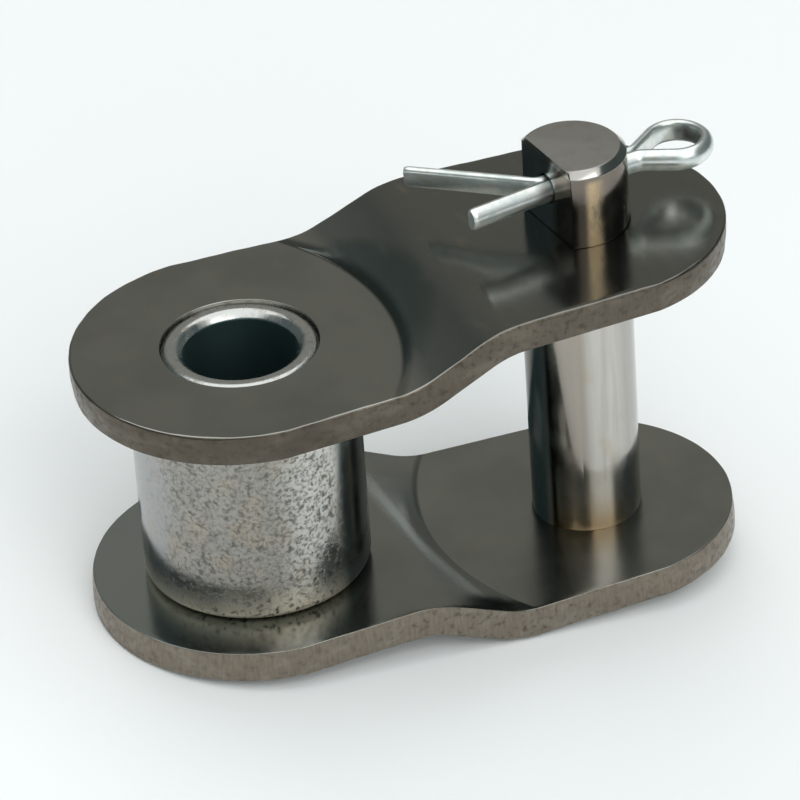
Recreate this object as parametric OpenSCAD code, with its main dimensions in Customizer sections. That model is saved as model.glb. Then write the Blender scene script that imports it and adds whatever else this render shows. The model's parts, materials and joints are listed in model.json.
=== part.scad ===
// Offset link of a roller chain: two cranked side plates, a bush with its roller at the
// narrow end, and a pin held by a split cotter pin at the wide end.
// The origin lies on the bush axis, half way between the plates. X runs from the bush
// to the pin, and Z runs along the bush and the pin, with the cotter pin on the upper side.

/* [Chain] */
// Pitch of the chain, from the bush axis to the pin axis
pitch = 25.4; // [22:0.1:30]
// Clear width between the plates at the narrow end
inner_width = 15.88; // [12:0.01:20]

/* [Plates] */
// Thickness of a plate
plate_t = 2.3; // [1.6:0.1:3.2]
// Height of a plate round the bush
plate_h_bush = 23.9; // [20:0.1:27]
// Height of a plate round the pin
plate_h_pin = 21.5; // [18:0.1:25]
// How far the sides of a plate draw in from the tangents of its round ends
plate_waist = 0.1; // [0.04:0.02:0.4]
// Side play of the next link's plates inside the wide end
crank_play = 0.6; // [0.3:0.05:1.2]
// Slope of the crank
crank_slope = 24; // [18:1:32]
// Radius on the hollow side of each bend in the crank
bend_r = 2.9; // [1.5:0.1:4]
// How far the middle of the crank lies from the middle of the pitch, towards the pin
crank_shift = -0.4; // [-1:0.1:1]
// Middle of the crank to the foot of the relief on the outer face, towards the bush
relief_bush_side = 1.5; // [0.8:0.1:2.5]
// Middle of the crank to the foot of the relief on the inner face, towards the pin
relief_pin_side = 1.2; // [0.8:0.1:2.5]
// Radius of the curved foot of each relief
relief_r = 19.5; // [15:0.5:30]
// Slope of the wall of each relief
relief_slope = 42; // [38:1:60]

/* [Bush] */
// Outer diameter of the bush
bush_d = 11.2; // [10:0.1:12.5]
// Bore of the bush
bush_bore_d = 8.04; // [7:0.01:9]
// How far each end of the bush lies below the plate's outer face
bush_inset = 0.1; // [0.02:0.01:0.4]
// Chamfer at each end of the bore
bush_bore_chamfer = 0.5; // [0.1:0.02:0.6]
// Chamfer round the outside of each end of the bush
bush_edge_chamfer = 0.36; // [0.1:0.02:0.5]

/* [Roller] */
// Outer diameter of the roller
roller_d = 16.2; // [14:0.1:17.5]
// Running clearance between the roller and the bush, on the radius
roller_gap = 0.08; // [0.02:0.01:0.1]
// Gap between each end of the roller and the plate, with the roller in the middle
roller_end_gap = 0.15; // [0.1:0.05:0.6]
// How far the roller has slid down from the middle, towards the lower plate
roller_drop = 0.1; // [0:0.01:0.1]
// Radius round the outer edges of the roller
roller_edge_r = 0.8; // [0.2:0.1:1.2]
// Chamfer at each end of the roller's bore
roller_bore_chamfer = 0.3; // [0.1:0.05:0.6]

/* [Pin] */
// Diameter of the pin
pin_d = 7.94; // [7:0.01:9]
// Depth of the flat on the pin's upper end
pin_flat_depth = 1.97; // [1:0.01:2.2]
// Turn of the pin's flat away from square to the link
pin_turn = 7; // [-10:1:10]
// Height of the pin above the upper plate
pin_above = 6.05; // [4.8:0.05:8]
// Height of the pin below the lower plate
pin_below = 0.8; // [0.4:0.1:1.5]
// Chamfer round each end of the pin
pin_chamfer = 0.5; // [0.2:0.05:0.8]
// Clearance of the pin's upper end in its hole
pin_gap = 0.04; // [0.02:0.01:0.1]

/* [Cotter pin] */
// Diameter of the half-round wire
wire_d = 1.85; // [1.2:0.05:2]
// Gap between the two halves of the closed wire
wire_gap = 0.1; // [0.06:0.02:0.2]
// Clearance of the closed wire in the cross hole
wire_fit = 0.15; // [0.05:0.05:0.25]
// Top of the pin to the axis of the cross hole
cotter_drop = 2.8; // [2:0.05:3.2]
// Bend radius on the flat side of the wire
wire_bend_r = 1.6; // [1.2:0.1:2.5]
// Inner diameter of the eye
eye_d = 3.5; // [2.4:0.1:4.5]
// Face of the pin to the neck of the eye
neck_reach = 0.9; // [0.3:0.1:2]
// Neck of the eye to its centre
eye_reach = 3.7; // [3:0.1:5]
// Length of the rear leg outside the pin
rear_leg = 10.2; // [5:0.1:14]
// Length of the front leg outside the pin
front_leg = 6.5; // [4:0.1:14]
// How far the rear leg is bent aside
rear_spread = 44; // [5:1:60]
// How far the front leg is bent aside
front_spread = 3; // [1:1:60]

/* [Hidden] */
$fn = 96;
// Overlap that carries a cut clear of the face it leaves
over = 1;

// Levels of the upper plate: inner and outer face at the narrow end and at the wide end
narrow_in = inner_width / 2;
narrow_out = narrow_in + plate_t;
crank_rise = plate_t + crank_play;
wide_in = narrow_in + crank_rise;
wide_out = wide_in + plate_t;

// Crank: a straight ramp between two equal bends
bend_mid_r = bend_r + plate_t / 2;
ramp_len = (crank_rise - 2 * bend_mid_r * (1 - cos(crank_slope))) / sin(crank_slope);
crank_run = 2 * bend_mid_r * sin(crank_slope) + ramp_len * cos(crank_slope);
crank_mid = pitch / 2 + crank_shift;
crank_from = crank_mid - crank_run / 2;
crank_to = crank_mid + crank_run / 2;

// Outline of a plate
bush_end_r = plate_h_bush / 2;
pin_end_r = plate_h_pin / 2;
strip_w = max(plate_h_bush, plate_h_pin) + 2 * over;
tangent_angle = acos((bush_end_r - pin_end_r) / pitch);

bush_r = bush_d / 2;
bush_half = narrow_out - bush_inset;
roller_half = narrow_in - roller_end_gap;

// Pin and cross hole
pin_r = pin_d / 2;
pin_flat = pin_r - pin_flat_depth;
pin_top = wide_out + pin_above;
pin_bottom = -wide_out - pin_below;
cotter_z = pin_top - cotter_drop;
cross_hole_d = wire_d + wire_gap + 2 * wire_fit;

// Cotter pin: the wire leaves the neck at the angle at which it meets the eye as a tangent
wire_r = wire_d / 2;
half_gap = wire_gap / 2;
neck_x = pin_r + neck_reach;
eye_x = neck_x + eye_reach;
eye_r = eye_d / 2;
bend_rise = half_gap + wire_bend_r;
neck_angle = atan2(eye_reach, bend_rise)
    - acos((eye_r + wire_bend_r) / norm([eye_reach, bend_rise]));
eye_run = eye_reach * cos(neck_angle) - bend_rise * sin(neck_angle);
leg_from = pin_flat + half_gap;

// Points of an arc round a centre
function arc(centre, r, from, to, steps = 8) =
    [for (i = [0:steps]) let(a = from + (to - from) * i / steps) centre + r * [cos(a), sin(a)]];

// The cranked strip that the plate is blanked from, drawn on edge and extruded across the plate
module cranked_strip() {
    narrow_bend = [crank_from, narrow_out + bend_r];
    wide_bend = [crank_to, wide_in - bend_r];
    bush_end = -bush_end_r - over;
    pin_end = pitch + pin_end_r + over;
    rotate([90, 0, 0])
        linear_extrude(strip_w, center = true)
            polygon(concat(
                [[bush_end, narrow_in]],
                arc(narrow_bend, bend_r + plate_t, -90, crank_slope - 90),
                arc(wide_bend, bend_r, crank_slope + 90, 90),
                [[pin_end, wide_in], [pin_end, wide_out]],
                arc(wide_bend, bend_r + plate_t, 90, crank_slope + 90),
                arc(narrow_bend, bend_r, crank_slope - 90, -90),
                [[bush_end, narrow_out]]
            ));
}

// The plate's blank: a round end at the bush and at the pin, joined by slightly waisted sides
module plate_blank(h) {
    bush_corner = (bush_end_r - plate_waist) * [cos(tangent_angle), sin(tangent_angle)];
    pin_corner = (pin_end_r - plate_waist) * [cos(tangent_angle), sin(tangent_angle)];
    cylinder(r = bush_end_r, h = h);
    translate([pitch, 0, 0])
        cylinder(r = pin_end_r, h = h);
    linear_extrude(h)
        polygon([
            bush_corner,
            [pitch + pin_corner.x, pin_corner.y],
            [pitch + pin_corner.x, -pin_corner.y],
            [bush_corner.x, -bush_corner.y]
        ]);
}

// Relief with a curved foot and a sloping wall, opening upwards from z = 0
module relief() {
    flare = crank_rise + over;
    cylinder(r1 = relief_r, r2 = relief_r + flare / tan(relief_slope), h = flare);
}

// A plate in the upper place, with the hole for the bush
module plate() {
    difference() {
        intersection() {
            cranked_strip();
            translate([0, 0, narrow_in - over])
                plate_blank(wide_out - narrow_in + 2 * over);
        }
        translate([crank_mid - relief_bush_side - relief_r, 0, narrow_out])
            relief();
        translate([crank_mid + relief_pin_side + relief_r, 0, wide_in])
            mirror([0, 0, 1])
                relief();
        translate([0, 0, narrow_in - over])
            cylinder(r = bush_r, h = plate_t + 2 * over);
    }
}

// Everything on the open side of the pin's flat, as seen along the pin
module beyond_flat(flat) {
    translate([-flat - pin_d, -pin_d, 0])
        square([pin_d, 2 * pin_d]);
}

module upper_plate() {
    color("#55544c")
        difference() {
            plate();
            translate([pitch, 0, wide_in - over])
                rotate(pin_turn)
                    linear_extrude(plate_t + 2 * over)
                        difference() {
                            circle(r = pin_r + pin_gap);
                            beyond_flat(pin_flat + pin_gap);
                        }
        }
}

module lower_plate() {
    color("#55544c")
        mirror([0, 0, 1])
            difference() {
                plate();
                translate([pitch, 0, wide_in - over])
                    cylinder(r = pin_r, h = plate_t + 2 * over);
            }
}

module bush() {
    bore_r = bush_bore_d / 2;
    color("#b9b7b2")
        rotate_extrude()
            polygon([
                [bore_r + bush_bore_chamfer, -bush_half],
                [bush_r - bush_edge_chamfer, -bush_half],
                [bush_r, bush_edge_chamfer - bush_half],
                [bush_r, bush_half - bush_edge_chamfer],
                [bush_r - bush_edge_chamfer, bush_half],
                [bore_r + bush_bore_chamfer, bush_half],
                [bore_r, bush_half - bush_bore_chamfer],
                [bore_r, bush_bore_chamfer - bush_half]
            ]);
}

module roller() {
    bore_r = bush_r + roller_gap;
    edge_x = roller_d / 2 - roller_edge_r;
    edge_z = roller_half - roller_edge_r;
    color("#a9a8a4")
        translate([0, 0, -roller_drop])
            rotate_extrude()
                polygon(concat(
                    arc([edge_x, -edge_z], roller_edge_r, -90, 0),
                    arc([edge_x, edge_z], roller_edge_r, 0, 90),
                    [
                        [bore_r + roller_bore_chamfer, roller_half],
                        [bore_r, roller_half - roller_bore_chamfer],
                        [bore_r, roller_bore_chamfer - roller_half],
                        [bore_r + roller_bore_chamfer, -roller_half]
                    ]
                ));
}

module link_pin() {
    color("#8d877d")
        translate([pitch, 0, 0])
            rotate(pin_turn)
                difference() {
                    rotate_extrude()
                        polygon([
                            [0, pin_bottom],
                            [pin_r - pin_chamfer, pin_bottom],
                            [pin_r, pin_bottom + pin_chamfer],
                            [pin_r, pin_top - pin_chamfer],
                            [pin_r - pin_chamfer, pin_top],
                            [0, pin_top]
                        ]);
                    translate([0, 0, wide_in - pin_gap])
                        linear_extrude(pin_top)
                            beyond_flat(pin_flat);
                    translate([0, 0, cotter_z])
                        rotate([0, 90, 0])
                            cylinder(d = cross_hole_d, h = 2 * pin_d, center = true);
                }
}

// Straight half-round wire along X, with its flat side on y = 0 and its round side towards +Y
module wire(length) {
    rotate([0, 90, 0])
        rotate_extrude(angle = 180)
            square([wire_r, length]);
}

// Section of the wire, with its flat side on x = 0 and its round side towards +X
module wire_section() {
    intersection() {
        circle(r = wire_r);
        translate([0, -wire_r])
            square([wire_r, wire_d]);
    }
}

// Wire that leaves the origin along X and turns aside towards +Y, round side inwards
module wire_bend(angle) {
    translate([0, wire_bend_r, 0])
        rotate(-90)
            rotate_extrude(angle = angle)
                translate([wire_bend_r, 0])
                    mirror([1, 0])
                        wire_section();
}

// Wire that bends aside and then runs straight
module bent_wire(angle, length) {
    wire_bend(angle);
    translate([wire_bend_r * sin(angle), wire_bend_r * (1 - cos(angle)), 0])
        rotate(angle)
            wire(length);
}

// One half of the cotter pin up to its eye, on the +Y side
module cotter_half(leg, spread) {
    bend_len = wire_bend_r * sin(spread);
    translate([-leg_from, half_gap, 0]) {
        wire(leg_from + neck_x);
        mirror([1, 0, 0])
            bent_wire(spread, leg - bend_len);
    }
    translate([neck_x, half_gap, 0])
        bent_wire(neck_angle, eye_run);
}

module cotter_pin() {
    color("#d3d8d2")
        translate([pitch, 0, cotter_z])
            rotate(pin_turn) {
                cotter_half(rear_leg, rear_spread);
                mirror([0, 1, 0])
                    cotter_half(front_leg, front_spread);
                translate([eye_x, 0, 0])
                    rotate(-90 - neck_angle)
                        rotate_extrude(angle = 180 + 2 * neck_angle)
                            translate([eye_r, 0])
                                wire_section();
            }
}

upper_plate();
lower_plate();
bush();
roller();
link_pin();
cotter_pin();
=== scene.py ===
import json
import math

import bmesh
import bpy
import numpy as np
from mathutils import Matrix, Vector
from mathutils.geometry import delaunay_2d_cdt


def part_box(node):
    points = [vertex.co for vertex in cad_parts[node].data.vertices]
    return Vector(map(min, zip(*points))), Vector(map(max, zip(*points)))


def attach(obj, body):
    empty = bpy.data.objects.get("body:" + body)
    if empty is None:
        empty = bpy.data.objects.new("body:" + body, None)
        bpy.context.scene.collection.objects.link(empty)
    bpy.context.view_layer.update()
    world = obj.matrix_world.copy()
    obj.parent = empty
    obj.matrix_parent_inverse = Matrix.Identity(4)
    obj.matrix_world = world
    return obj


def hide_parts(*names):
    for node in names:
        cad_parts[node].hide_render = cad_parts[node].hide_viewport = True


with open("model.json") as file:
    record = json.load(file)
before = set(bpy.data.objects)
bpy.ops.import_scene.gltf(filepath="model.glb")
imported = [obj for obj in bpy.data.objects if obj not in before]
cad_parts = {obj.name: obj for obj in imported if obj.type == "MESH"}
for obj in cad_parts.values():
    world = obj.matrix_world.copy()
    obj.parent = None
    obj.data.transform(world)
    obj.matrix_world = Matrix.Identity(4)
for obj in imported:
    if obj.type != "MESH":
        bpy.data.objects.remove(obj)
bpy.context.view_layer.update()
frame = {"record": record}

# Bush: a hardened steel tube, turned and ground, pressed through both plates until its ends
# lie just below their outer faces. The end faces are bright, and the bore is painted dark teal
# as painted shade for its dim inside.
mm = 0.001
mounts = {mount["name"]: mount for mount in frame["record"]["mounts"]}
bush_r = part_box("bush")[1].x / mm
bush_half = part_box("bush")[1].z / mm
bush_bore_r = mounts["bush_bore"]["dims"]["r_mm"]
bush_bore_chamfer = 0.5
bush_edge_chamfer = 0.36
bush_corner_r = 0.3
bush_lip_r = 0.6
bore_margin = 0.03


def rounded(corners, steps=5):
    """Points of a closed outline, each of whose corners (x, y, radius) is rounded off."""
    points = []
    for i, (x, y, radius) in enumerate(corners):
        corner = np.array([x, y])
        back = np.array(corners[i - 1][:2]) - corner
        ahead = np.array(corners[(i + 1) % len(corners)][:2]) - corner
        back = back / np.linalg.norm(back)
        ahead = ahead / np.linalg.norm(ahead)
        half = math.acos(np.clip(back @ ahead, -1, 1)) / 2
        inward = (back + ahead) / np.linalg.norm(back + ahead)
        centre = corner + inward * radius / math.sin(half)
        start = corner + back * radius / math.tan(half) - centre
        turn = math.copysign(math.pi - 2 * half, back[1] * ahead[0] - back[0] * ahead[1])
        for step in range(steps + 1):
            angle = math.atan2(start[1], start[0]) + turn * step / steps
            points.append(centre + radius * np.array([math.cos(angle), math.sin(angle)]))
    return points


def turned(profile, sides):
    """Vertices and faces of a closed profile of (radius, height), turned round Z."""
    verts = []
    for side in range(sides):
        angle = 2 * math.pi * side / sides
        verts += [(r * math.cos(angle), r * math.sin(angle), z) for r, z in profile]
    n = len(profile)
    faces = []
    for side in range(sides):
        here, there = side * n, (side + 1) % sides * n
        faces += [
            (here + j, there + j, there + (j + 1) % n, here + (j + 1) % n) for j in range(n)
        ]
    return verts, faces


def add_piece(name, verts, faces, materials, crease=40):
    """A smooth-shaded mesh object from vertices in millimetres, with faces turned outwards."""
    mesh = bpy.data.meshes.new(name)
    mesh.from_pydata([Vector(v) * mm for v in verts], [], faces)
    work = bmesh.new()
    work.from_mesh(mesh)
    bmesh.ops.remove_doubles(work, verts=work.verts, dist=0.0002 * mm)
    bmesh.ops.recalc_face_normals(work, faces=work.faces)
    work.to_mesh(mesh)
    work.free()
    mesh.shade_smooth()
    mesh.set_sharp_from_angle(angle=math.radians(crease))
    for material in materials:
        mesh.materials.append(material)
    piece = bpy.data.objects.new(name, mesh)
    bpy.context.scene.collection.objects.link(piece)
    return piece


class Finish:
    """A surface finish: its material, its shader, and the textures that drive it, in millimetres."""

    def __init__(self, name, metallic=1, roughness=0.5):
        self.material = bpy.data.materials.new(name)
        self.material.use_nodes = True
        self.tree = self.material.node_tree
        self.shader = self.tree.nodes["Principled BSDF"]
        self.shader.inputs["Metallic"].default_value = metallic
        self.shader.inputs["Roughness"].default_value = roughness
        self.place = self.tree.nodes.new("ShaderNodeTexCoord").outputs["Object"]

    def node(self, kind, **settings):
        made = self.tree.nodes.new("ShaderNode" + kind)
        for key, value in settings.items():
            setattr(made, key, value)
        return made

    def link(self, output, target):
        self.tree.links.new(output, target)

    def noise(self, size, stretch=(1, 1, 1), detail=3, offset=0, swirl=0):
        """Soft noise whose grains are about size mm across, stretched along the axes."""
        mapping = self.node("Mapping")
        mapping.inputs["Scale"].default_value = [1 / (size * mm * s) for s in stretch]
        mapping.inputs["Location"].default_value = (offset, offset, offset)
        self.link(self.place, mapping.inputs["Vector"])
        noise = self.node("TexNoise")
        noise.inputs["Scale"].default_value = 1
        noise.inputs["Detail"].default_value = detail
        noise.inputs["Distortion"].default_value = swirl
        self.link(mapping.outputs["Vector"], noise.inputs["Vector"])
        return noise.outputs["Fac"]

    def between(self, value, low, high, to_low=0, to_high=1):
        """A value brought from one range to another, smoothly and held at its ends."""
        spread = self.node("MapRange", interpolation_type="SMOOTHSTEP")
        ends = {"From Min": low, "From Max": high, "To Min": to_low, "To Max": to_high}
        for key, number in ends.items():
            spread.inputs[key].default_value = number
        self.link(value, spread.inputs["Value"])
        return spread.outputs["Result"]

    def along(self, direction):
        """How far a place lies along a direction, in mm."""
        dot = self.node("VectorMath", operation="DOT_PRODUCT")
        dot.inputs[1].default_value = Vector(direction) / mm
        self.link(self.place, dot.inputs[0])
        return dot.outputs["Value"]

    def away(self, x, y):
        """How far a place lies from an upright line, in mm."""
        flat = self.node("VectorMath", operation="MULTIPLY")
        flat.inputs[1].default_value = (1 / mm, 1 / mm, 0)
        self.link(self.place, flat.inputs[0])
        gap = self.node("VectorMath", operation="DISTANCE")
        gap.inputs[1].default_value = (x, y, 0)
        self.link(flat.outputs["Vector"], gap.inputs[0])
        return gap.outputs["Value"]

    def combine(self, operation, first, *others):
        """Values put together, one after the other."""
        for other in others:
            math_node = self.node("Math", operation=operation)
            for socket, value in zip(math_node.inputs, (first, other)):
                if isinstance(value, (int, float)):
                    socket.default_value = value
                else:
                    self.link(value, socket)
            first = math_node.outputs["Value"]
        return first

    def times(self, *values):
        return self.combine("MULTIPLY", *values)

    def plus(self, *values):
        return self.combine("ADD", *values)

    def tint(self, under, over, share):
        """One colour laid over another by a share; a colour is a tuple or an earlier result."""
        mix = self.node("Mix", data_type="RGBA")
        self.link(share, mix.inputs["Factor"])
        for socket, colour in ((mix.inputs[6], under), (mix.inputs[7], over)):
            if isinstance(colour, tuple):
                socket.default_value = (*colour, 1)
            else:
                self.link(colour, socket)
        return mix.outputs[2]

    def layered(self, under, *layers):
        """A colour with others laid over it in turn, each given as (colour, share)."""
        for over, share in layers:
            under = self.tint(under, over, share)
        return under

    def colour(self, value):
        self.link(value, self.shader.inputs["Base Color"])

    def roughness(self, value):
        self.link(value, self.shader.inputs["Roughness"])

    def relief(self, value, depth, after=None):
        """Fine relief of a depth in mm; returns the normal, for more relief on top of it."""
        bump = self.node("Bump")
        bump.inputs["Distance"].default_value = depth * mm
        self.link(value, bump.inputs["Height"])
        if after:
            self.link(after, bump.inputs["Normal"])
        self.link(bump.outputs["Normal"], self.shader.inputs["Normal"])
        return bump.outputs["Normal"]


bush_steel = Finish("ground_bush_steel")
bush_mottle = bush_steel.noise(0.7, detail=4)
bush_steel.colour(
    bush_steel.tint((0.56, 0.57, 0.55), (0.38, 0.34, 0.29), bush_steel.between(bush_mottle, 0.5, 0.75))
)
bush_steel.roughness(bush_steel.between(bush_mottle, 0.3, 0.7, 0.16, 0.34))
bush_steel.relief(bush_steel.noise(0.08), 0.002)

# Painted shade: the bore is coloured dark teal for the dim inside of the bore.
oiled_bore = Finish("oiled_bore", roughness=0.5)
oiled_bore.colour(
    oiled_bore.tint((0.11, 0.2, 0.2), (0.15, 0.23, 0.23), oiled_bore.noise(1.5, (1, 1, 3)))
)
oiled_bore.relief(oiled_bore.noise(0.15), 0.003)

bush_profile = rounded([
    (bush_bore_r, bush_bore_chamfer - bush_half, bush_corner_r),
    (bush_bore_r + bush_bore_chamfer, -bush_half, bush_lip_r),
    (bush_r - bush_edge_chamfer, -bush_half, bush_lip_r),
    (bush_r, bush_edge_chamfer - bush_half, bush_corner_r),
    (bush_r, bush_half - bush_edge_chamfer, bush_corner_r),
    (bush_r - bush_edge_chamfer, bush_half, bush_lip_r),
    (bush_bore_r + bush_bore_chamfer, bush_half, bush_lip_r),
    (bush_bore_r, bush_half - bush_bore_chamfer, bush_corner_r),
])
bush_finishes = [bush_steel.material, oiled_bore.material]
bush = add_piece("pressed_bush", *turned(bush_profile, 192), bush_finishes)
for face in bush.data.polygons:
    if math.hypot(face.center.x, face.center.y) < (bush_bore_r + bore_margin) * mm:
        face.material_index = 1
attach(bush, "link")
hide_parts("bush")

# Roller: a hardened steel sleeve that turns freely on the bush between the plates. It is
# tumbled bright, and handling and stock rust have left it speckled with small dark pits. Its
# foot is lighter, browner and rougher. A painted sheen makes its left side lighter, bluer and
# free of pits, a painted highlight lightens its right side, and a painted dark strip near its
# right edge stands for the reflection of the room.
roller_low, roller_high = (corner.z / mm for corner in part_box("roller"))
roller_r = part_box("roller")[1].x / mm
roller_play = 0.08
roller_bore_r = bush_r + roller_play
roller_edge_r = 0.8
roller_bore_chamfer = 0.3
roller_corner_r = 0.08
roller_foot = 3
photo_right = (0.927, -0.371, 0)

roller_steel = Finish("pitted_roller_steel")
rightwards = roller_steel.along(photo_right)
patches = roller_steel.noise(3.2, detail=3, offset=3)
specks = roller_steel.noise(0.42, detail=3, swirl=0.2)
dust = roller_steel.noise(0.25, detail=3, offset=5)
stains = roller_steel.noise(1.2, detail=5, offset=7, swirl=0.8)
# Painted sheen: the roller's left side, as the camera sees it, is lighter and bluer, and its pits are
# left off there.
left_side_sheen = roller_steel.between(rightwards, -6.6, -4.2, 0.85, 0)
spread = roller_steel.times(
    roller_steel.between(patches, 0.24, 0.46, 0.45, 1),
    roller_steel.combine("SUBTRACT", 1, left_side_sheen),
    # Pits fade under the painted dark strip near the right edge.
    roller_steel.between(rightwards, 5.6, 6.6, 1, 0.15),
)
pits = roller_steel.times(roller_steel.between(specks, 0.5, 0.72), spread)
freckles = roller_steel.times(roller_steel.between(dust, 0.42, 0.7), spread)
foot = roller_steel.between(roller_steel.along((0, 0, 1)), roller_low, roller_low + roller_foot, 0.75, 0)
bright = roller_steel.tint((0.37, 0.365, 0.35), (0.29, 0.27, 0.235), roller_steel.noise(1.5, detail=4))
roller_steel.colour(roller_steel.layered(
    bright,
    ((0.36, 0.365, 0.37), left_side_sheen),
    # Painted highlight on the roller's right side.
    ((0.58, 0.57, 0.535), roller_steel.between(rightwards, 1.5, 4.5)),
    ((0.4, 0.33, 0.24), roller_steel.between(roller_steel.noise(2.1, offset=13), 0.5, 0.72, 0, 0.45)),
    ((0.2, 0.19, 0.17), freckles),
    ((0.84, 0.74, 0.6), foot),
    ((0.15, 0.145, 0.13), pits),
    # Painted dark strip near the right edge: a painted reflection of the room.
    ((0.17, 0.2, 0.195), roller_steel.between(rightwards, 6, 6.8)),
    ((0.17, 0.19, 0.19), roller_steel.between(stains, 0.58, 0.76, 0, 0.6)),
))
rough_pits = roller_steel.between(roller_steel.plus(pits, patches), 0.3, 1.3, 0.16, 0.4)
roller_steel.roughness(roller_steel.plus(rough_pits, roller_steel.times(foot, 0.45)))
roller_steel.relief(pits, -0.008, roller_steel.relief(roller_steel.noise(0.12), 0.0012))

roller_profile = rounded([
    (roller_bore_r, roller_low + roller_bore_chamfer, roller_corner_r),
    (roller_bore_r + roller_bore_chamfer, roller_low, roller_corner_r),
    (roller_r, roller_low, roller_edge_r),
    (roller_r, roller_high, roller_edge_r),
    (roller_bore_r + roller_bore_chamfer, roller_high, roller_corner_r),
    (roller_bore_r, roller_high - roller_bore_chamfer, roller_corner_r),
], steps=8)
roller = add_piece("pitted_roller", *turned(roller_profile, 256), [roller_steel.material])
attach(roller, "roller")
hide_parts("roller")

# Side plates: blanked from steel strip and cranked, so that the wide end clears the narrow
# end of the next link, with a curved relief pressed into each face beside the crank. They are
# hardened and darkened with oil; the sheared edges are lighter, with a smooth land and a
# leaning break. Painted shade darkens the upper plate's wide end, the feet of the reliefs, a
# patch at the front of the lower plate's crank, and the upper plate's edges, most at its narrow
# end. Painted light brightens the lower plate's narrow end, and a painted highlight runs along
# the crest of the crank on the inner faces.
pitch = mounts["pin_journal"]["pos_m"][0] / mm
plate_t = 2.3
plate_inset = 0.006
narrow_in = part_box("upper_plate")[0].z / mm
narrow_out = narrow_in + plate_t
wide_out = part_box("upper_plate")[1].z / mm
wide_in = wide_out - plate_t
bush_end_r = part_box("upper_plate")[1].y / mm - plate_inset
pin_end_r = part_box("upper_plate")[1].x / mm - pitch
plate_waist = 0.1
crank_shift = 0.4
crank_mid = pitch / 2 - crank_shift
crank_slope = math.radians(24)
bend_r = 6.5
relief_bush_side = 1.5
relief_pin_side = 1.2
relief_r = 19.5
relief_slope = math.tan(math.radians(42))
relief_foot_r = 0.06
relief_crest_out = 0.7
relief_crest_in = 0.4
relief_ease = 0.24
relief_ease_width = 7
relief_ease_limit = 1.1
outer_relief = (relief_bush_side, relief_crest_out, 0)
inner_relief = (relief_pin_side, relief_crest_in, relief_ease)
plate_edge_r = 0.2
inner_edge_share = 0.4
shear_land = 0.4
shear_land_waver = 0.35
shear_lean = 0.22
hole_edge_r = 0.06
pin_r = mounts["pin_journal"]["dims"]["r_mm"]
pin_gap = 0.04
pin_flat_cut = 1.97
pin_flat = pin_r - pin_flat_cut
pin_turn = math.radians(7)
rim_width = 0.16
wall_limit = 0.55
hole_margin = 1
mesh_margin = 0.5
mesh_hole_margin = 0.3

crank_rise = wide_in - narrow_in
bend_mid_r = bend_r + plate_t / 2
ramp_len = (crank_rise - 2 * bend_mid_r * (1 - math.cos(crank_slope))) / math.sin(crank_slope)
crank_half = bend_mid_r * math.sin(crank_slope) + ramp_len * math.cos(crank_slope) / 2


def climb(along, across, relief_side, relief_crest, ease):
    """Rise of a face above its lower flat, at a place measured from the middle of the crank."""
    hollow_r, round_r = bend_r, bend_r + plate_t
    ramp_from = hollow_r * math.sin(crank_slope) - crank_half
    ramp_to = crank_half - round_r * math.sin(crank_slope)
    past_foot = np.maximum(along + crank_half, 0)
    before_top = np.maximum(crank_half - along, 0)
    hollow = hollow_r - np.sqrt(np.maximum(hollow_r**2 - past_foot**2, 0))
    ramp = hollow_r * (1 - math.cos(crank_slope)) + (along - ramp_from) * math.tan(crank_slope)
    shoulder = crank_rise - round_r + np.sqrt(np.maximum(round_r**2 - before_top**2, 0))
    rise = np.where(along < ramp_from, hollow, np.where(along < ramp_to, ramp, shoulder))
    foot = np.hypot(along + relief_side + relief_r, across) - relief_r
    fillet = np.clip(foot + relief_foot_r, 0, 2 * relief_foot_r) ** 2 / (4 * relief_foot_r)
    aside = np.minimum(np.abs(across) / relief_ease_width, relief_ease_limit)
    steepness = relief_slope - ease * aside**2
    wall = (fillet + np.maximum(foot - relief_foot_r, 0)) * steepness
    crest = np.minimum(relief_crest, rise) + 1e-6
    return np.minimum(rise, wall) - np.maximum(crest - np.abs(rise - wall), 0) ** 2 / (4 * crest)


def outer_face(points):
    return narrow_out + climb(points[:, 0] - crank_mid, points[:, 1], *outer_relief)


def inner_face(points):
    return wide_in - climb(crank_mid - points[:, 0], points[:, 1], *inner_relief)


def plate_outline(count):
    """Points round the blank, evenly spaced, and the outward direction at each."""
    tangent = math.acos((bush_end_r - pin_end_r) / pitch)
    bush_from = tangent + math.acos(1 - plate_waist / bush_end_r)
    pin_to = tangent - math.acos(1 - plate_waist / pin_end_r)
    bush_arc = np.linspace(bush_from, 2 * math.pi - bush_from, 400)
    pin_arc = np.linspace(-pin_to, pin_to, 400)
    rough = np.concatenate([
        bush_end_r * np.column_stack([np.cos(bush_arc), np.sin(bush_arc)]),
        [pitch, 0] + pin_end_r * np.column_stack([np.cos(pin_arc), np.sin(pin_arc)]),
    ])
    rough = np.vstack([rough, rough[:1]])
    run = np.concatenate([[0], np.cumsum(np.linalg.norm(np.diff(rough, axis=0), axis=1))])
    at = np.linspace(0, run[-1], count, endpoint=False)
    even = np.column_stack([np.interp(at, run, rough[:, axis]) for axis in (0, 1)])
    ahead = np.roll(even, -1, axis=0) - np.roll(even, 1, axis=0)
    outward = np.column_stack([ahead[:, 1], -ahead[:, 0]])
    return even, outward / np.linalg.norm(outward, axis=1)[:, None]


def circle(centre_x, radius, count):
    angle = np.linspace(0, 2 * math.pi, count, endpoint=False)
    way = np.column_stack([np.cos(angle), np.sin(angle)])
    return [centre_x, 0] + radius * way, -way


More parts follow.
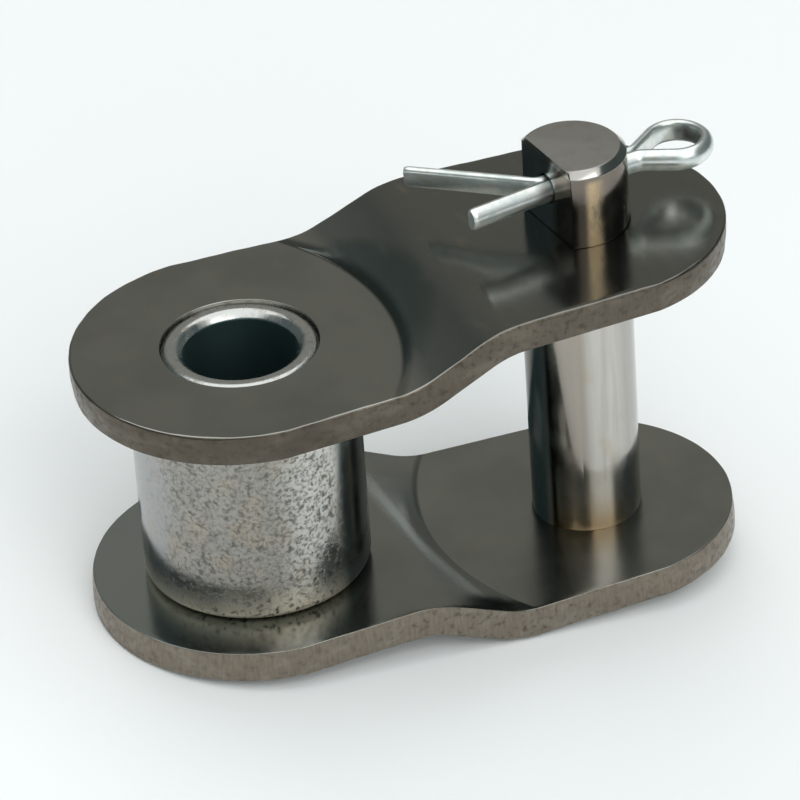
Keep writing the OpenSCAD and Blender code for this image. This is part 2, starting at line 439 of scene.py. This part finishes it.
def d_hole(count):
    """The outline of the pin's D-shaped hole, and the direction into the plate's metal."""
    radius, flat = pin_r + pin_gap, pin_flat + pin_gap
    half = math.acos(-flat / radius)
    arc = np.linspace(-half, half, count * 3 // 4)
    chord = np.linspace(radius * math.sin(half), -radius * math.sin(half), count // 4 + 2)[1:-1]
    shape = np.vstack([
        radius * np.column_stack([np.cos(arc), np.sin(arc)]),
        np.column_stack([np.full(len(chord), -flat), chord]),
    ])
    ahead = np.roll(shape, -1, axis=0) - np.roll(shape, 1, axis=0)
    inward = np.column_stack([-ahead[:, 1], ahead[:, 0]])
    inward = inward / np.linalg.norm(inward, axis=1)[:, None]
    turn = np.array([[math.cos(pin_turn), math.sin(pin_turn)], [-math.sin(pin_turn), math.cos(pin_turn)]])
    return [pitch, 0] + shape @ turn, inward @ turn


def inside_blank(points, margin):
    """Which points lie inside the blank by a margin."""
    x, y = points[:, 0], np.abs(points[:, 1])
    tangent = math.acos((bush_end_r - pin_end_r) / pitch)
    along = x * math.sin(tangent) - y * math.cos(tangent)
    side = x * math.cos(tangent) + y * math.sin(tangent)
    strip = (side < bush_end_r - plate_waist - margin) & (along > 0) & (along < pitch * math.sin(tangent))
    return (
        (np.hypot(x, y) < bush_end_r - margin)
        | (np.hypot(x - pitch, y) < pin_end_r - margin)
        | strip
    )


def face_points(relief_x, towards):
    """Points that carry a face: rings round the relief, close at its foot, and a wide grid."""
    at_foot = np.concatenate([[-1.2, -0.6, -0.3, -0.15], np.linspace(-0.08, 0.08, 7)])
    rings = np.concatenate([at_foot, np.arange(0.16, 4.6, 0.14), np.arange(4.7, 9, 0.3)])
    spread = np.linspace(-0.75, 0.75, 150)
    polar = np.vstack([
        np.column_stack([
            relief_x + towards * (relief_r + ring) * np.cos(spread),
            (relief_r + ring) * np.sin(spread),
        ])
        for ring in rings
    ])
    grid_x, grid_y = np.meshgrid(np.arange(-12, pitch + 12, 1.1), np.arange(-12, 12.1, 1.1))
    grid = np.column_stack([grid_x.ravel(), grid_y.ravel()])
    past_foot = np.hypot(grid[:, 0] - relief_x, grid[:, 1]) - relief_r
    return np.vstack([polar, grid[(past_foot < -1.5) | (past_foot > 9)]])


def inside_loop(points, loop):
    """Which points lie inside a convex loop."""
    ahead = np.roll(loop, -1, axis=0) - loop
    gap = points[:, None, :] - loop[None, :, :]
    cross = ahead[None, :, 0] * gap[:, :, 1] - ahead[None, :, 1] * gap[:, :, 0]
    return (cross > 0).all(axis=1)


def filled(loops, points, height):
    """Triangles that fill the loops' outline, less its holes, with every point at its height."""
    flat = np.vstack(loops + [points])
    edges = []
    first = 0
    for loop in loops:
        edges += [(first + i, first + (i + 1) % len(loop)) for i in range(len(loop))]
        first += len(loop)
    found, _, faces, *_ = delaunay_2d_cdt([Vector(p) for p in flat], edges, [], 1, 1e-6)
    found = np.array([tuple(p) for p in found])
    middle = np.array([found[list(face)].mean(axis=0) for face in faces])
    kept = np.ones(len(faces), bool)
    for loop in loops[1:]:
        kept &= ~inside_loop(middle, loop)
    verts = np.column_stack([found, height(found)])
    return verts, [face for face, keep in zip(faces, kept) if keep]


def wall_rows(shape, out, edge_r, rows, waver=0, lean=0):
    """Rows of a wall from the outer face to the inner one, with both its edges rounded."""
    loops = []
    quarter = np.linspace(0, math.pi / 2, 6)
    reach = np.broadcast_to(edge_r * (1 + waver), len(shape))[:, None]
    sharp = reach * inner_edge_share
    land = np.broadcast_to(shear_land + shear_land_waver * waver, len(shape))[:, None]
    for angle in quarter:
        place = shape - out * reach * (1 - math.sin(angle))
        loops.append(np.column_stack([place, outer_face(place) - reach[:, 0] * (1 - math.cos(angle))]))
    top, foot = outer_face(shape) - reach[:, 0], inner_face(shape) + sharp[:, 0]
    for share in np.linspace(0, 1, rows + 1)[1:-1]:
        place = shape - out * lean * np.maximum(share - land, 0)
        loops.append(np.column_stack([place, top + (foot - top) * share]))
    for angle in quarter[::-1]:
        place = shape - out * (lean * (1 - land) + sharp * (1 - math.sin(angle)))
        loops.append(np.column_stack([place, inner_face(place) + sharp[:, 0] * (1 - math.cos(angle))]))
    return loops


def joined(first, count):
    """Faces between a ring of points, numbered from first, and the ring that follows it."""
    return [
        (first + i, first + (i + 1) % count, first + count + (i + 1) % count, first + count + i)
        for i in range(count)
    ]


def plate_mesh(pin_hole):
    """Vertices and faces of a plate in the upper place."""
    outline, outward = plate_outline(720)
    run = np.arange(len(outline)) / len(outline) * 2 * math.pi
    waver = 0.16 * np.sin(9 * run + 1) + 0.12 * np.sin(23 * run + 4) + 0.08 * np.sin(57 * run)
    walls = [
        wall_rows(outline, outward, plate_edge_r, 14, waver, shear_lean),
        wall_rows(*circle(0, bush_r, 180), hole_edge_r, 3),
        wall_rows(*pin_hole, hole_edge_r, 3),
    ]
    verts, faces = [], []
    for rim, relief_x, towards, height in (
        (0, crank_mid - relief_bush_side - relief_r, 1, outer_face),
        (-1, crank_mid + relief_pin_side + relief_r, -1, inner_face),
    ):
        loops = [wall[rim][:, :2] for wall in walls]
        points = face_points(relief_x, towards)
        clear = inside_blank(points, mesh_margin)
        clear &= np.hypot(*points.T) > bush_r + mesh_hole_margin
        clear &= np.hypot(points[:, 0] - pitch, points[:, 1]) > pin_r + mesh_hole_margin
        held = outline - outward * (2 * plate_edge_r + shear_lean)
        new_verts, new_faces = filled(loops, np.vstack([points[clear], held]), height)
        faces += [tuple(len(verts) + i for i in face) for face in new_faces]
        verts += [tuple(v) for v in new_verts]
    for wall in walls:
        count = len(wall[0])
        for row in range(len(wall) - 1):
            faces += joined(len(verts) + row * count, count)
        verts += [tuple(v) for loop in wall for v in loop]
    return verts, faces


plate_steel = Finish("oiled_plate_steel")
plate_x = plate_steel.along((1, 0, 0))
plate_y = plate_steel.along((0, 1, 0))
plate_z = plate_steel.along((0, 0, 1))
depth = plate_steel.combine("ABSOLUTE", plate_z, 0)
cloud = plate_steel.noise(7, detail=3)
grain = plate_steel.noise(0.25, detail=4)
scuffs = plate_steel.noise(1.1, (1, 2.4, 1), detail=5, offset=5)
# Painted shade: the upper plate's wide end is painted darker.
upper_end_shade = plate_steel.times(
    plate_steel.between(plate_x, crank_mid - 4, crank_mid + 3, 0, 0.8),
    plate_steel.between(plate_z, 6, 8),
)
# Painted light: the lower plate's narrow end is painted lighter and bluer, less so near its front edge.
lower_end_light = plate_steel.times(
    plate_steel.between(plate_x, -2, 6, 0.8, 0),
    plate_steel.between(plate_z, -8, -6, 1, 0),
    plate_steel.between(plate_y, -9.5, -7.5, 0.2, 1),
)
crest_ring_r = 60
crest_way = plate_steel.away(71, 8)
# Painted highlight along the crest of the crank on the inner faces, which is also made a little rougher.
crest_highlight = plate_steel.times(
    plate_steel.between(crest_way, crest_ring_r - 0.9, crest_ring_r),
    plate_steel.between(crest_way, crest_ring_r + 0.1, crest_ring_r + 1.3, 1, 0),
    plate_steel.between(plate_y, 4, 9, 1, 0.2),
    plate_steel.between(plate_y, -9.8, -8.4),
    plate_steel.between(depth, 9.85, 10.1, 0.85, 0),
)
groove_way = plate_steel.away(crank_mid - relief_bush_side - relief_r, 0)
# Painted shade in the crease at the foot of the outer relief, also laid over a highlight near its tip.
outer_relief_shade = plate_steel.times(
    plate_steel.between(groove_way, relief_r - 0.25, relief_r - 0.02),
    plate_steel.between(groove_way, relief_r + 0.25, relief_r + 0.9, 1, 0),
    plate_steel.between(depth, 10, 10.15, 0, 0.88),
    plate_steel.between(plate_y, -9.5, -6, 0.5, 1),
)
inner_way = plate_steel.away(crank_mid + relief_pin_side + relief_r, 0)
# Painted shade in the crease at the foot of the inner relief.
inner_relief_shade = plate_steel.times(
    plate_steel.between(inner_way, relief_r - 0.15, relief_r),
    plate_steel.between(inner_way, relief_r + 0.1, relief_r + 0.5, 1, 0),
    plate_steel.between(plate_y, 1, 5, 0, 0.6),
)
# Painted shadow: a dark patch at the front of the lower plate's crank.
front_patch_shade = plate_steel.between(plate_steel.away(13.4, -10.9), 1, 2.6, 0.85, 0)
# Both painted shades together, on the inner faces only.
relief_and_patch_shade = plate_steel.times(
    plate_steel.combine("MAXIMUM", inner_relief_shade, front_patch_shade),
    plate_steel.between(depth, 10.9, 11.2, 1, 0),
)
blued = plate_steel.tint(
    (0.337, 0.337, 0.308), (0.288, 0.292, 0.268), plate_steel.between(cloud, 0.35, 0.65)
)
plate_steel.colour(plate_steel.layered(
    blued,
    ((0.189, 0.192, 0.174), upper_end_shade),
    ((0.4, 0.44, 0.42), lower_end_light),
    ((0.66, 0.69, 0.66), crest_highlight),
    ((0.09, 0.1, 0.09), outer_relief_shade),
    ((0.08, 0.09, 0.085), relief_and_patch_shade),
    ((0.36, 0.33, 0.27), plate_steel.between(scuffs, 0.58, 0.8, 0, 0.4)),
))
rough_low = plate_steel.times(
    plate_steel.between(plate_z, -8, 8, 0.065, 0),
    plate_steel.between(plate_x, 5, 14),
)
plate_steel.roughness(plate_steel.plus(
    plate_steel.between(plate_steel.plus(scuffs, grain), 0.7, 1.3, 0.15, 0.2),
    rough_low,
    plate_steel.times(crest_highlight, 0.14),
))
plate_steel.relief(grain, 0.001)

sheared_edge = Finish("sheared_plate_edge")
edge_x = sheared_edge.along((1, 0, 0))
streaks = sheared_edge.noise(0.16, (1, 1, 9), detail=4)
torn = sheared_edge.noise(0.5, (1, 1, 0.8), detail=5, offset=2)
mottle = sheared_edge.noise(2.4, (1, 1, 0.6), detail=4, offset=8)
# Painted shade: the upper plate's edges are darker than the lower plate's, most at the narrow end.
upper_edge_shade = sheared_edge.times(
    sheared_edge.between(sheared_edge.along((0, 0, 1)), -2, 2),
    sheared_edge.between(edge_x, 0, 10, 0.92, 0.74),
    sheared_edge.between(mottle, 0.42, 0.66, 1, 0.86),
)
specked = sheared_edge.times(
    sheared_edge.between(torn, 0.52, 0.74, 0, 0.5),
    sheared_edge.between(edge_x, 2, 12, 0.35, 1),
    sheared_edge.between(edge_x, 18, 26, 1, 0.5),
)
sheared = sheared_edge.tint(
    (0.258, 0.221, 0.18), (0.218, 0.186, 0.15), sheared_edge.between(streaks, 0.35, 0.65)
)
sheared_edge.colour(sheared_edge.layered(
    sheared,
    ((0.32, 0.29, 0.24), sheared_edge.between(mottle, 0.5, 0.7, 0, 0.6)),
    ((0.092, 0.079, 0.062), upper_edge_shade),
    ((0.06, 0.05, 0.038), specked),
))
sheared_edge.roughness(sheared_edge.between(torn, 0.4, 0.7, 0.32, 0.55))
sheared_edge.relief(torn, -0.014, sheared_edge.relief(streaks, 0.006))

for side, pin_hole, rim_limit in (
    ("upper", d_hole(160), 0.74),
    ("lower", circle(pitch, pin_r, 160), 0.88),
):
    verts, faces = plate_mesh(pin_hole)
    if side == "lower":
        verts = [(x, y, -z) for x, y, z in verts]
    plate_finishes = [plate_steel.material, sheared_edge.material]
    plate = add_piece(side + "_side_plate", verts, faces, plate_finishes, crease=60)
    middles = np.array([face.center[:2] for face in plate.data.polygons]) / mm
    rims = ~inside_blank(middles, rim_width)
    for face, rim in zip(plate.data.polygons, rims):
        steep = abs(face.normal.z) < (rim_limit if rim else wall_limit)
        near_pin = math.hypot(face.center.x / mm - pitch, face.center.y / mm) < pin_r + hole_margin
        near_bush = math.hypot(face.center.x / mm, face.center.y / mm) < bush_r + hole_margin
        face.material_index = int(steep and not near_pin and not near_bush)
    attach(plate, "link")
    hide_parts(side + "_plate")

# Link pin: a ground steel pin, pressed into the lower plate. Its upper end has a flat, which
# keys it in the D-shaped hole of the upper plate, and a cross hole for the cotter pin. Heat has
# tinted it. Painted shade makes its left half darker and rosier, darkens a slanted patch on its
# left and dulls its right edge, and a painted dark reflection of the room lies on its left.
# Its head carries a painted golden highlight, painted shade at its sides, and a teal-grey
# painted reflection on its left and on its flat.
pin_inset = 0.002
pin_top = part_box("link_pin")[1].z / mm - pin_inset
pin_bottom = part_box("link_pin")[0].z / mm + pin_inset
pin_chamfer = 0.5
pin_corner_r = 0.12
pin_edge_break = 0.09
cotter_drop = 2.8
cotter_z = pin_top - cotter_drop
cross_hole_r = 1.125
pin_sides = 256
pin_side = photo_right[0] * pitch
pin_front = photo_right[1] * pitch

pin_steel = Finish("ground_pin_steel")
sideways = pin_steel.along(photo_right)
forwards = pin_steel.along((photo_right[1], -photo_right[0], 0))
upright = pin_steel.along((0, 0, 1))
draw = pin_steel.noise(0.7, (1, 1, 16), detail=2)
blotch = pin_steel.noise(1.6, (1, 1, 1.8), detail=4, offset=4)
shade = pin_steel.times(
    pin_steel.between(pin_steel.along((*photo_right[:2], 0.13)), pin_side - 2.4, pin_side - 0.7, 0.75, 0),
    pin_steel.between(upright, -8.5, -4),
)
# Painted reflection: a dark teal patch on the pin's left stands for the reflection of the room.
dark_room_reflection = pin_steel.times(
    pin_steel.between(pin_steel.along((*photo_right[:2], -0.105)), pin_side - 3.95, pin_side - 3.6),
    pin_steel.between(sideways, pin_side - 3, pin_side - 1.5, 1, 0),
    pin_steel.between(forwards, pin_front - 1.5, pin_front + 0.3),
)
ground = pin_steel.tint((0.55, 0.53, 0.495), (0.47, 0.45, 0.41), pin_steel.between(draw, 0.38, 0.66))
shank = pin_steel.layered(
    ground,
    # Painted shade: the pin's left half, as the camera sees it, is darker and rosier.
    ((0.35, 0.31, 0.27), pin_steel.between(sideways, pin_side - 0.2, pin_side + 1, 0.85, 0)),
    ((0.45, 0.34, 0.22), pin_steel.between(blotch, 0.55, 0.75, 0, 0.35)),
    ((0.39, 0.28, 0.16), pin_steel.between(upright, -wide_in, -wide_in + 3.8, 0.9, 0)),
    ((0.11, 0.11, 0.1), shade),
    ((0.024, 0.04, 0.04), dark_room_reflection),
    # Painted shade: the pin's right edge is dulled.
    ((0.4, 0.38, 0.36), pin_steel.between(sideways, pin_side + 2.2, pin_side + 3.4, 0, 0.8)),
)
# Painted shade on the head's left of centre and right edge.
head_side_shade = pin_steel.times(
    pin_steel.plus(
        pin_steel.between(sideways, pin_side + 0.65, pin_side + 1.15, 0.75, 0),
        pin_steel.between(sideways, pin_side + 2.3, pin_side + 3, 0, 0.6),
    ),
    pin_steel.between(upright, pin_top - 2.4, pin_top - 1, 1, 0.3),
)
# Painted highlight: a golden, rougher band on the head's round side.
head_highlight = pin_steel.times(
    pin_steel.between(sideways, pin_side + 0.8, pin_side + 1.3),
    pin_steel.between(sideways, pin_side + 1.7, pin_side + 2.4, 1, 0),
    pin_steel.between(blotch, 0.3, 0.55, 0.35, 1),
    pin_steel.between(upright, pin_top - 1.2, pin_top - 0.6, 1, 0),
)
top_tone = pin_steel.tint((0.42, 0.41, 0.385), (0.35, 0.33, 0.3), pin_steel.between(blotch, 0.4, 0.65))
side_tone = pin_steel.tint((0.21, 0.18, 0.155), (0.29, 0.235, 0.18), pin_steel.between(blotch, 0.45, 0.7))
head = pin_steel.layered(
    side_tone,
    ((0.08, 0.07, 0.06), head_side_shade),
    # Painted reflection: the head's left edge and its flat are tinted teal-grey.
    ((0.3, 0.36, 0.37), pin_steel.between(sideways, pin_side - 1.6, pin_side - 1, 1, 0)),
    (top_tone, pin_steel.between(upright, pin_top - 0.6, pin_top - 0.45)),
    ((0.7, 0.53, 0.33), head_highlight),
)
in_plate = pin_steel.between(upright, wide_in - 0.4, wide_in + 0.4)
pin_steel.colour(pin_steel.tint(shank, head, in_plate))
# The painted reflection of the room is not metallic.
shank_room_reflection = pin_steel.combine("SUBTRACT", dark_room_reflection, in_plate)
pin_steel.link(pin_steel.between(shank_room_reflection, 0.58, 1, 1, 0), pin_steel.shader.inputs["Metallic"])
pin_steel.shader.inputs["Specular IOR Level"].default_value = 0.25
pin_steel.roughness(pin_steel.plus(
    pin_steel.times(head_highlight, in_plate, 0.3),
    pin_steel.between(blotch, 0.35, 0.7, 0.1, 0.2),
    pin_steel.between(upright, pin_top - 0.1, pin_top - 0.02, 0, 0.3),
))
pin_steel.relief(draw, 0.0012)


def pin_section(radius, z, flatted):
    """One ring of the pin: a circle, or a circle with the flat cut off it."""
    angle = np.linspace(0, 2 * math.pi, pin_sides, endpoint=False)
    x, y = radius * np.cos(angle), radius * np.sin(angle)
    if flatted:
        x = np.maximum(x, -pin_flat)
    return np.column_stack([x, y, np.full(pin_sides, z)])


pin_ledge = wide_in - pin_gap
pin_profile = rounded([
    (0.01, pin_bottom, 0.001),
    (pin_r - pin_chamfer, pin_bottom, pin_corner_r),
    (pin_r, pin_bottom + pin_chamfer, pin_corner_r),
    (pin_r, pin_top - pin_chamfer, pin_corner_r),
    (pin_r - pin_chamfer, pin_top, pin_corner_r),
    (0.01, pin_top, 0.001),
])[6:-6]
pin_rings = [pin_section(r, z, False) for r, z in pin_profile if z < 0]
pin_rings += [pin_section(pin_r, pin_ledge, False), pin_section(pin_r, pin_ledge, True)]
pin_rings += [pin_section(r, z, True) for r, z in pin_profile if z > 0]
pin_turned = Matrix.Translation((pitch, 0, 0)) @ Matrix.Rotation(pin_turn, 4, "Z")
pin_verts = [pin_turned @ Vector(v) for ring in pin_rings for v in ring]
pin_faces = [tuple(range(pin_sides)), tuple(range(len(pin_verts) - pin_sides, len(pin_verts)))]
for row in range(len(pin_rings) - 1):
    pin_faces += joined(row * pin_sides, pin_sides)
pin = add_piece("flatted_link_pin", pin_verts, pin_faces, [pin_steel.material])

drill_verts, drill_faces = turned(
    [(0.001, -2 * pin_r), (cross_hole_r, -2 * pin_r), (cross_hole_r, 2 * pin_r), (0.001, 2 * pin_r)], 64
)
drill_place = Matrix.Translation((pitch, 0, cotter_z)) @ Matrix.Rotation(pin_turn, 4, "Z")
drill_place = drill_place @ Matrix.Rotation(math.pi / 2, 4, "Y")
drill = add_piece("drill", [drill_place @ Vector(v) for v in drill_verts], drill_faces, [])
cross_hole = pin.modifiers.new("cross hole", "BOOLEAN")
cross_hole.object = drill
cross_hole.solver = "EXACT"
broken_edges = pin.modifiers.new("broken edges", "BEVEL")
broken_edges.width = pin_edge_break * mm
broken_edges.segments = 3
broken_edges.limit_method = "ANGLE"
broken_edges.angle_limit = math.radians(40)
drilled = bpy.data.meshes.new_from_object(pin.evaluated_get(bpy.context.evaluated_depsgraph_get()))
pin.modifiers.clear()
pin.data = drilled
drilled.shade_smooth()
drilled.set_sharp_from_angle(angle=math.radians(35))
bpy.data.objects.remove(drill)
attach(pin, "link")
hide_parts("link_pin")

# Cotter pin: one length of half-round steel wire, folded flat to flat round an eye and zinc
# plated. It passes through the pin's cross hole, and its legs are bent apart to hold it.
wire_r = 0.925
wire_corner_r = 0.3
half_gap = 0.05
wire_bend_r = 1.6
eye_r = 1.75
neck_gap = 0.9
neck_x = pin_r + neck_gap
eye_reach = 3.69
rear_leg = 10.2
front_leg = 6.5
rear_spread = math.radians(44)
front_spread = math.radians(3)
rear_roll = math.radians(10)
path_step = 0.12
tip_size = 0.9
tip_growth = 0.5

bend_rise = half_gap + wire_bend_r
neck_reach = math.hypot(eye_reach, bend_rise)
neck_angle = math.atan2(eye_reach, bend_rise) - math.acos((eye_r + wire_bend_r) / neck_reach)
eye_run = eye_reach * math.cos(neck_angle) - bend_rise * math.sin(neck_angle)
eye_turn = math.pi + 2 * neck_angle
leg_from = pin_flat + half_gap
rear_straight = rear_leg - wire_bend_r * math.sin(rear_spread)
front_straight = front_leg - wire_bend_r * math.sin(front_spread)

zinc_wire = Finish("zinc_plated_wire")
spangle = zinc_wire.noise(0.8, detail=4)
yellowed = zinc_wire.between(zinc_wire.noise(1.4, offset=9), 0.55, 0.75, 0, 0.5)
plated = zinc_wire.tint((0.84, 0.86, 0.84), (0.68, 0.75, 0.73), zinc_wire.between(spangle, 0.4, 0.68))
zinc_wire.colour(zinc_wire.tint(plated, (0.62, 0.6, 0.46), yellowed))
zinc_wire.roughness(zinc_wire.between(spangle, 0.3, 0.7, 0.29, 0.38))
zinc_wire.relief(zinc_wire.noise(0.15, detail=3, offset=3), 0.0015)


def wire_path(moves, place, heading):
    """Points and headings along a path of (length, turn) moves, each a straight or an arc."""
    path = [(*place, heading)]
    for length, turn in moves:
        steps = max(2, round(length / path_step))
        for step in range(steps):
            heading += turn / steps / 2
            place = (
                place[0] + length / steps * math.cos(heading),
                place[1] + length / steps * math.sin(heading),
            )
            heading += turn / steps / 2
            path.append((*place, heading))
    return np.array(path)


wire_moves = [
    (rear_straight, 0),
    (wire_bend_r * rear_spread, rear_spread),
    (leg_from + neck_x, 0),
    (wire_bend_r * neck_angle, neck_angle),
    (eye_run, 0),
    (eye_r * eye_turn, -eye_turn),
    (eye_run, 0),
    (wire_bend_r * neck_angle, neck_angle),
    (leg_from + neck_x, 0),
    (wire_bend_r * front_spread, front_spread),
    (front_straight, 0),
]
rear_tip = (
    -leg_from - wire_bend_r * math.sin(rear_spread) - rear_straight * math.cos(rear_spread),
    half_gap + wire_bend_r * (1 - math.cos(rear_spread)) + rear_straight * math.sin(rear_spread),
)
path = wire_path(wire_moves, rear_tip, -rear_spread)
section = rounded(
    [(0, -wire_r, wire_corner_r)]
    + [(wire_r * math.cos(a), wire_r * math.sin(a), 0.001) for a in np.linspace(-1.15, 1.15, 15)]
    + [(0, wire_r, wire_corner_r)],
    steps=3,
)
gone = np.concatenate([[0], np.cumsum(np.hypot(*np.diff(path[:, :2], axis=0).T))])
wire_verts = []
wire_place = Matrix.Translation((pitch, 0, cotter_z)) @ Matrix.Rotation(pin_turn, 4, "Z")
for (x, y, heading), run in zip(path, gone):
    roll = rear_roll * max(0, 1 - run / rear_straight) ** 0.7
    ends = min(1, tip_size + tip_growth * min(run, gone[-1] - run))
    for out, up in section:
        out, up = out * ends, up * ends
        aside = out * math.cos(roll) - up * math.sin(roll)
        raised = out * math.sin(roll) + up * math.cos(roll)
        wire_verts.append(
            wire_place @ Vector((x - aside * math.sin(heading), y + aside * math.cos(heading), raised))
        )
wire_sides = len(section)
wire_faces = [tuple(range(wire_sides)), tuple(range(len(wire_verts) - wire_sides, len(wire_verts)))]
for row in range(len(path) - 1):
    wire_faces += joined(row * wire_sides, wire_sides)
cotter = add_piece("split_cotter_pin", wire_verts, wire_faces, [zinc_wire.material], 50)
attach(cotter, "link")
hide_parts("cotter_pin")

# Studio: a pale floor under the two rims that the link rests on, soft light from large panels,
# a dark card behind the link that shows only in the metal, and a long lens at the height and
# angle of the photograph.
narrow_rim = (-bush_end_r, -narrow_out)
pin_rim = (pitch - pin_r + pin_chamfer, pin_bottom)
floor_slope = math.atan2(narrow_rim[1] - pin_rim[1], pin_rim[0] - narrow_rim[0])
floor_place = Matrix.Translation((narrow_rim[0] * mm, 0, narrow_rim[1] * mm))
floor_half = 1500
floor_corners = ((-1, -1), (1, -1), (1, 1), (-1, 1))
floor_finish = Finish("pale_floor", metallic=0, roughness=0.9)
floor_finish.shader.inputs["Specular IOR Level"].default_value = 0.1
floor_finish.colour(
    floor_finish.tint((0.86, 0.885, 0.885), (0.88, 0.9, 0.9), floor_finish.noise(60, detail=2))
)
floor_verts = [(x * floor_half, y * floor_half, 0) for x, y in floor_corners]
floor = add_piece("floor", floor_verts, [(0, 1, 2, 3)], [floor_finish.material])
floor.matrix_world = floor_place @ Matrix.Rotation(floor_slope, 4, "Y")

card_lift = 0.1
card_corners = ((-9, 12.2), (30, 12.2), (28, 17), (20, 18.7), (12.7, 19.4), (5.4, 18.4), (-9, 14.5))
card_finish = Finish("dark_card", metallic=0, roughness=0.8)
card_finish.colour(card_finish.tint((0.026, 0.056, 0.056), (0.034, 0.064, 0.064), card_finish.noise(20)))
card_verts = [(x - narrow_rim[0], y, card_lift) for x, y in card_corners]
card = add_piece("dark_card", card_verts, [tuple(range(len(card_verts)))], [card_finish.material])
card.matrix_world = floor.matrix_world
card.visible_camera = False
card.visible_diffuse = False
card.visible_shadow = False

world = bpy.data.worlds.new("studio")
bpy.context.scene.world = world
world.use_nodes = True
room_tone = (0.1, 0.13, 0.13, 1)
glow_tone = (0.28, 0.28, 0.26, 1)
glow_from = Vector((0.36, 0.76, 0.54)).normalized()
sky = world.node_tree
look = sky.nodes.new("ShaderNodeTexCoord")
towards_glow = sky.nodes.new("ShaderNodeVectorMath")
towards_glow.operation = "DOT_PRODUCT"
towards_glow.inputs[1].default_value = glow_from
sky.links.new(look.outputs["Generated"], towards_glow.inputs[0])
glow = sky.nodes.new("ShaderNodeMapRange")
glow.interpolation_type = "SMOOTHSTEP"
glow.inputs["From Min"].default_value = math.cos(math.radians(45))
glow.inputs["From Max"].default_value = math.cos(math.radians(10))
sky.links.new(towards_glow.outputs["Value"], glow.inputs["Value"])
room = sky.nodes.new("ShaderNodeMix")
room.data_type = "RGBA"
room.inputs[6].default_value = room_tone
room.inputs[7].default_value = glow_tone
sky.links.new(glow.outputs["Result"], room.inputs["Factor"])
sky.links.new(room.outputs[2], sky.nodes["Background"].inputs["Color"])


def panel(name, place, aim, size, power, in_metal=True):
    """A soft light of a size in metres at a place, facing a point, seen in the metal or not."""
    light = bpy.data.lights.new(name, "AREA")
    light.size = size
    light.energy = power
    lamp = bpy.data.objects.new(name, light)
    lamp.location = place
    lamp.rotation_euler = (Vector(aim) - Vector(place)).to_track_quat("-Z", "Y").to_euler()
    lamp.visible_camera = False
    lamp.visible_glossy = in_metal
    bpy.context.scene.collection.objects.link(lamp)


middle = (0.012, 0, 0)
panel("overhead", (0, -0.1, 1), middle, 1.6, 10)
panel("front", (0.25, -1.1, 0.75), middle, 1, 5)
panel("back_fill", (0.1, 1, 0.7), middle, 0.9, 3.9, in_metal=False)
panel("front_fill", (-0.1, -1, 0.6), middle, 0.9, 5.4, in_metal=False)

view_from = Vector((-97.002, -304.526, 214.770)) * mm
view_along = Vector((0.28041, 0.78687, -0.54974))
view_right = Vector((0.92693, -0.37076, -0.05787))
view_up = Vector((0.24935, 0.49334, 0.83333))
lens = bpy.data.cameras.new("long_lens")
lens.lens = 245.66
lens.sensor_width = 36
lens.clip_start = 0.01
camera = bpy.data.objects.new("camera", lens)
camera_turn = Matrix((view_right, view_up, -view_along)).transposed().to_4x4()
camera.matrix_world = Matrix.Translation(view_from) @ camera_turn
bpy.context.scene.collection.objects.link(camera)
bpy.context.scene.camera = camera
bpy.context.scene.view_settings.view_transform = "Standard"
